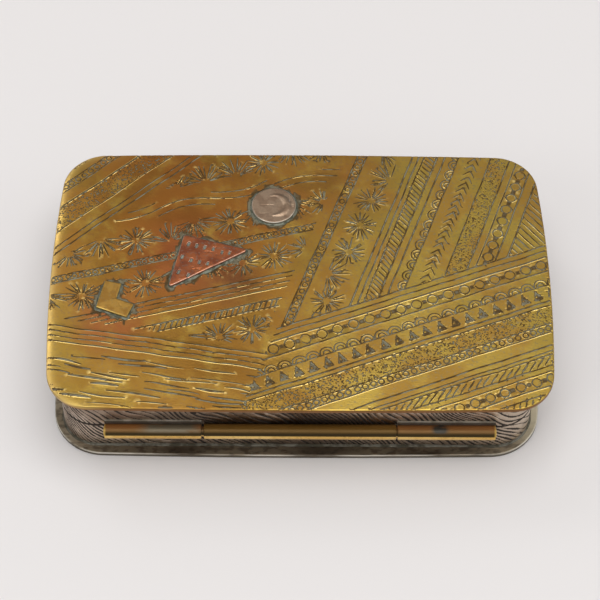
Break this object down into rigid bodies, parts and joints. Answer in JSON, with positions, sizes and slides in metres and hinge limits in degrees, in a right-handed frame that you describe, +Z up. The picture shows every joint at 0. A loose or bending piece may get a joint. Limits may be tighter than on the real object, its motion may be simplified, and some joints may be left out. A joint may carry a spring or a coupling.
{
  "type": "stamp box",
  "caption": "Small rectangular metal box for stamps, with rounded corners, a rim at its base and an overhanging engraved lid on a tube hinge.",
  "frame": {"origin": "on the table, under the middle of the box", "axes": "+X along the hinge, -Y towards the hinge side, +Z up"},
  "size_m": [0.08, 0.0507, 0.0155],
  "materials": {
    "base_nickel_silver": "satin, mottled",
    "wall_nickel_silver": "engraved, with dark patina in the lines",
    "seat_nickel_silver": "satin, with solder",
    "hinge_brass": "polished, toned to copper on top",
    "lid_brass": "engraved and polished, with grey-green patina in the lines",
    "overlay_silver": "satin silver",
    "overlay_copper": "satin copper",
    "overlay_brass": "satin brass"
  },
  "bodies": {
    "body": {"base_plate": "base_nickel_silver", "body_wall": "wall_nickel_silver", "locating_lip": "base_nickel_silver", "body_knuckle": "hinge_brass", "body_knuckle_seat": "seat_nickel_silver"},
    "lid": {"lid_plate": "lid_brass", "lid_band": "wall_nickel_silver", "lid_knuckle_left": "hinge_brass", "lid_knuckle_right": "hinge_brass", "lid_knuckle_seat_left": "seat_nickel_silver", "lid_knuckle_seat_right": "seat_nickel_silver", "hinge_pin": "hinge_brass", "disc_overlay": "overlay_silver", "triangle_overlay": "overlay_copper", "angle_overlay": "overlay_brass"}
  },
  "joints": [
    {"name": "lid_hinge", "type": "hinge", "parent": "body", "child": "lid", "pos_m": [0, -0.02415, 0.0069], "axis": [1, 0, 0], "range_deg": [0, 135]}
  ]
}
